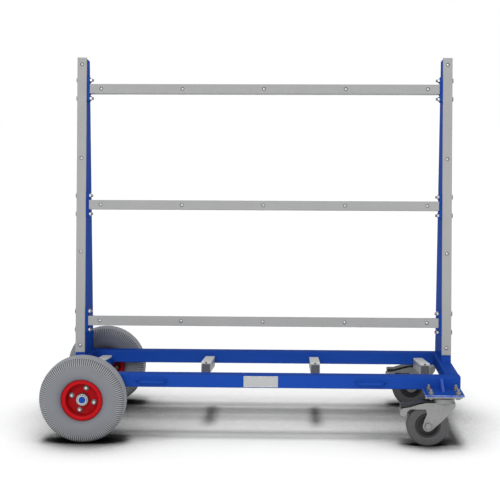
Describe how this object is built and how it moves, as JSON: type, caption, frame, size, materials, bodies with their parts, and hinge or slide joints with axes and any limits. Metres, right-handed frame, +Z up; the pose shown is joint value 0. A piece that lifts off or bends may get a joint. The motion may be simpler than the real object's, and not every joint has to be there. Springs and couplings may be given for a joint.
{
  "type": "slab_cart",
  "caption": "Slab cart: a square-tube base on fixed wheels and braked swivel castors, with leaning uprights and rubber-faced rails that sheets rest against.",
  "frame": {"origin": "On the floor, under the middle of the whole cart.", "axes": "+X along the cart from the fixed wheels to the castors, +Y from the loading side to the back, +Z up."},
  "size_m": [1.2662, 0.59, 1.1549],
  "materials": {
    "blue_paint": "gloss",
    "red_paint": "gloss",
    "zinc_plate": "satin",
    "bearing_steel": "polished",
    "silver_plate": "satin",
    "grey_rubber": "matte",
    "pale_rubber": "matte",
    "tyre_grey": "matte",
    "castor_rubber": "matte",
    "black_plastic": "satin",
    "grey_plastic": "matte"
  },
  "bodies": {
    "frame": {"arm_end_plugs": "grey_plastic", "axle": "blue_paint", "axle_hangers": "blue_paint", "axle_rings": "zinc_plate", "axle_sleeves": "blue_paint", "bottom_rail": "zinc_plate", "bottom_rail_strip": "grey_rubber", "castor_bolts": "zinc_plate", "castor_kingpins": "zinc_plate", "castor_nuts": "zinc_plate", "front_castor_head": "zinc_plate", "front_castor_plate": "blue_paint", "front_tube": "blue_paint", "label_plate": "silver_plate", "lashing_bars": "blue_paint", "left_end_tube": "blue_paint", "left_upright": "blue_paint", "left_upright_strip": "grey_rubber", "middle_rail": "zinc_plate", "middle_rail_strip": "grey_rubber", "plate_gussets": "blue_paint", "rail_bolts": "zinc_plate", "rail_flanges": "blue_paint", "rail_nuts": "zinc_plate", "rear_castor_head": "zinc_plate", "rear_castor_plate": "blue_paint", "rear_tube": "blue_paint", "right_end_tube": "blue_paint", "right_upright": "blue_paint", "right_upright_strip": "grey_rubber", "strip_screws": "zinc_plate", "support_arms": "zinc_plate", "support_pads": "pale_rubber", "top_rail": "zinc_plate", "top_rail_strip": "grey_rubber", "tube_end_caps": "black_plastic"},
    "front_wheel": {"front_tyre": "tyre_grey", "front_outer_rim": "red_paint", "front_inner_rim": "red_paint", "front_hub": "zinc_plate", "front_bearings": "bearing_steel", "front_rim_bolts": "zinc_plate"},
    "front_swivel": {"front_fork": "zinc_plate", "front_castor_axle": "zinc_plate", "front_pedal_pin": "zinc_plate"},
    "front_castor_wheel": {"front_castor_tread": "castor_rubber", "front_castor_core": "black_plastic"},
    "front_pedal": {"front_brake_pedal": "black_plastic"},
    "rear_wheel": {"rear_tyre": "tyre_grey", "rear_outer_rim": "red_paint", "rear_inner_rim": "red_paint", "rear_hub": "zinc_plate", "rear_bearings": "bearing_steel", "rear_rim_bolts": "zinc_plate"},
    "rear_swivel": {"rear_fork": "zinc_plate", "rear_castor_axle": "zinc_plate", "rear_pedal_pin": "zinc_plate"},
    "rear_castor_wheel": {"rear_castor_tread": "castor_rubber", "rear_castor_core": "black_plastic"},
    "rear_pedal": {"rear_brake_pedal": "black_plastic"}
  },
  "joints": [
    {"name": "front_wheel_spin", "type": "hinge", "parent": "frame", "child": "front_wheel", "pos_m": [-0.50315, -0.248, 0.13], "axis": [0, 1, 0], "continuous": true},
    {"name": "front_castor_swivel", "type": "hinge", "parent": "frame", "child": "front_swivel", "pos_m": [0.57035, -0.252, 0.147], "axis": [0, 0, 1], "continuous": true},
    {"name": "front_castor_spin", "type": "hinge", "parent": "front_swivel", "child": "front_castor_wheel", "pos_m": [0.52435, -0.252, 0.0625], "axis": [0, 1, 0], "continuous": true},
    {"name": "front_brake_press", "type": "hinge", "parent": "front_swivel", "child": "front_pedal", "pos_m": [0.48035, -0.252, 0.1185], "axis": [0, -1, 0], "range_deg": [0, 6]},
    {"name": "rear_wheel_spin", "type": "hinge", "parent": "frame", "child": "rear_wheel", "pos_m": [-0.50315, 0.248, 0.13], "axis": [0, 1, 0], "continuous": true},
    {"name": "rear_castor_swivel", "type": "hinge", "parent": "frame", "child": "rear_swivel", "pos_m": [0.57035, 0.252, 0.147], "axis": [0, 0, 1], "continuous": true},
    {"name": "rear_castor_spin", "type": "hinge", "parent": "rear_swivel", "child": "rear_castor_wheel", "pos_m": [0.52435, 0.252, 0.0625], "axis": [0, 1, 0], "continuous": true},
    {"name": "rear_brake_press", "type": "hinge", "parent": "rear_swivel", "child": "rear_pedal", "pos_m": [0.48035, 0.252, 0.1185], "axis": [0, -1, 0], "range_deg": [0, 6]}
  ]
}
